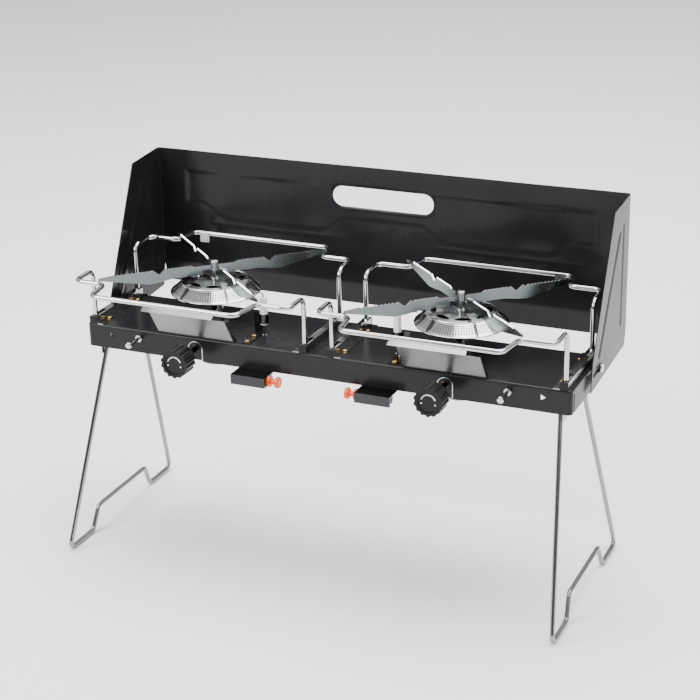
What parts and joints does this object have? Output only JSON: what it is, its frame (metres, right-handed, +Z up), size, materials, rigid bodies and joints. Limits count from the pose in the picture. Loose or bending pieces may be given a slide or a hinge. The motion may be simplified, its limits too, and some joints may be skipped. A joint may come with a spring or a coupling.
{
  "type": "camp stove",
  "caption": "Folding camp stove: black tray with side-by-side burners, pot arms on wire frames, wrap-round windshield and fold-in wire legs.",
  "frame": {"origin": "on the ground, under the middle of the whole stove's box", "axes": "+Z up, +X to the cook's right along the tray, +Y away from the cook towards the rear windshield panel"},
  "size_m": [0.544, 0.249, 0.386],
  "materials": {
    "enamel": "gloss black baked enamel",
    "chrome": "bright chrome-plated wire",
    "burner_chrome": "polished pressed sheet",
    "stainless": "fine brushed stainless sheet",
    "arm_steel": "satin stamped strip with bright edges",
    "galvanised": "zinc-plated, satin",
    "holder_steel": "dark plated, satin",
    "brass": "bright brass, slightly tarnished",
    "black_plastic": "moulded, satin",
    "orange_plastic": "moulded, glossy",
    "ceramic": "white glazed",
    "rubber": "matt sleeve",
    "washer_plastic": "plain"
  },
  "bodies": {
    "tray": {"tray": "enamel", "rail_outer_left": "galvanised", "rail_inner_left": "galvanised", "rail_outer_right": "galvanised", "rail_inner_right": "galvanised", "rail_end_plugs": "black_plastic", "brass_screws": "brass", "mixing_tubes": "galvanised", "electrode_brackets": "holder_steel", "electrode_ceramics": "ceramic", "electrode_pins": "stainless", "ignition_leads": "rubber", "igniter_holders": "holder_steel", "piezo_bodies": "black_plastic", "piezo_collars": "orange_plastic", "valve_bodies": "brass", "gas_jets": "brass", "valve_brackets": "enamel", "gas_pipe": "galvanised", "gas_inlet": "brass", "front_studs": "chrome", "stud_nuts": "chrome", "leg_brackets": "galvanised", "burner_neck_left": "galvanised", "burner_pan_left": "burner_chrome", "burner_band_left": "burner_chrome", "burner_cap_left": "burner_chrome", "burner_bowl_left": "enamel", "hub_post_left": "chrome", "heat_shield_left": "stainless", "burner_neck_right": "galvanised", "burner_pan_right": "burner_chrome", "burner_band_right": "burner_chrome", "burner_cap_right": "burner_chrome", "burner_bowl_right": "enamel", "hub_post_right": "chrome", "heat_shield_right": "stainless"},
    "leg_left": {"leg_left": "chrome"},
    "leg_right": {"leg_right": "chrome"},
    "hinge_pins": {"hinge_pins": "chrome", "hinge_washers": "washer_plastic", "hinge_nuts": "chrome"},
    "windshield": {"windshield": "enamel"},
    "wire_frame_front_left": {"wire_frame_front_left": "chrome"},
    "wire_frame_rear_left": {"wire_frame_rear_left": "chrome", "rear_clip_left": "galvanised"},
    "pot_arm_upper_left": {"pot_arm_upper_left": "arm_steel"},
    "pot_arm_lower_left": {"pot_arm_lower_left": "arm_steel"},
    "knob_left": {"knob_left": "black_plastic", "valve_stem_left": "holder_steel"},
    "igniter_button_left": {"igniter_button_left": "orange_plastic"},
    "wire_frame_front_right": {"wire_frame_front_right": "chrome"},
    "wire_frame_rear_right": {"wire_frame_rear_right": "chrome", "rear_clip_right": "galvanised"},
    "pot_arm_upper_right": {"pot_arm_upper_right": "arm_steel"},
    "pot_arm_lower_right": {"pot_arm_lower_right": "arm_steel"},
    "knob_right": {"knob_right": "black_plastic", "valve_stem_right": "holder_steel"},
    "igniter_button_right": {"igniter_button_right": "orange_plastic"}
  },
  "joints": [
    {"name": "leg_left_fold", "type": "hinge", "parent": "tray", "child": "leg_left", "pos_m": [-0.25, -0.007, 0.217], "axis": [0, -1, 0], "range_deg": [0, 87]},
    {"name": "leg_right_fold", "type": "hinge", "parent": "tray", "child": "leg_right", "pos_m": [0.25, -0.007, 0.217], "axis": [0, 1, 0], "range_deg": [0, 87]},
    {"name": "windshield_fold", "type": "hinge", "parent": "tray", "child": "hinge_pins", "pos_m": [0, 0.025, 0.235], "axis": [1, 0, 0], "range_deg": [0, 90]},
    {"name": "windshield_slide", "type": "slide", "parent": "hinge_pins", "child": "windshield", "axis": [0, 1, 0], "range_m": [0, 0.022]},
    {"name": "frame_front_left_slide", "type": "slide", "parent": "tray", "child": "wire_frame_front_left", "axis": [0, 1, 0], "range_m": [0, 0.014]},
    {"name": "frame_rear_left_slide", "type": "slide", "parent": "tray", "child": "wire_frame_rear_left", "axis": [0, -1, 0], "range_m": [0, 0.014]},
    {"name": "arm_upper_left_swing", "type": "hinge", "parent": "tray", "child": "pot_arm_upper_left", "pos_m": [-0.136, -0.007, 0.303], "axis": [0, 0, -1], "range_deg": [0, 35]},
    {"name": "arm_lower_left_swing", "type": "hinge", "parent": "tray", "child": "pot_arm_lower_left", "pos_m": [-0.136, -0.007, 0.297], "axis": [0, 0, 1], "range_deg": [0, 35]},
    {"name": "knob_left_turn", "type": "hinge", "parent": "tray", "child": "knob_left", "pos_m": [-0.137, -0.077, 0.229], "axis": [0, -1, 0], "range_deg": [0, 270]},
    {"name": "igniter_left_press", "type": "slide", "parent": "tray", "child": "igniter_button_left", "axis": [-1, 0, 0], "range_m": [0, 0.005], "stiffness_N_per_m": 1500, "springref_m": -0.002},
    {"name": "frame_front_right_slide", "type": "slide", "parent": "tray", "child": "wire_frame_front_right", "axis": [0, 1, 0], "range_m": [0, 0.014]},
    {"name": "frame_rear_right_slide", "type": "slide", "parent": "tray", "child": "wire_frame_rear_right", "axis": [0, -1, 0], "range_m": [0, 0.014]},
    {"name": "arm_upper_right_swing", "type": "hinge", "parent": "tray", "child": "pot_arm_upper_right", "pos_m": [0.136, -0.007, 0.303], "axis": [0, 0, -1], "range_deg": [0, 35]},
    {"name": "arm_lower_right_swing", "type": "hinge", "parent": "tray", "child": "pot_arm_lower_right", "pos_m": [0.136, -0.007, 0.297], "axis": [0, 0, 1], "range_deg": [0, 35]},
    {"name": "knob_right_turn", "type": "hinge", "parent": "tray", "child": "knob_right", "pos_m": [0.137, -0.077, 0.229], "axis": [0, -1, 0], "range_deg": [0, 270]},
    {"name": "igniter_right_press", "type": "slide", "parent": "tray", "child": "igniter_button_right", "axis": [1, 0, 0], "range_m": [0, 0.005], "stiffness_N_per_m": 1500, "springref_m": -0.002}
  ],
  "couplings": [
    {"joint": "windshield_slide", "follows": "windshield_fold", "m_per_rad": 0.014005}
  ]
}
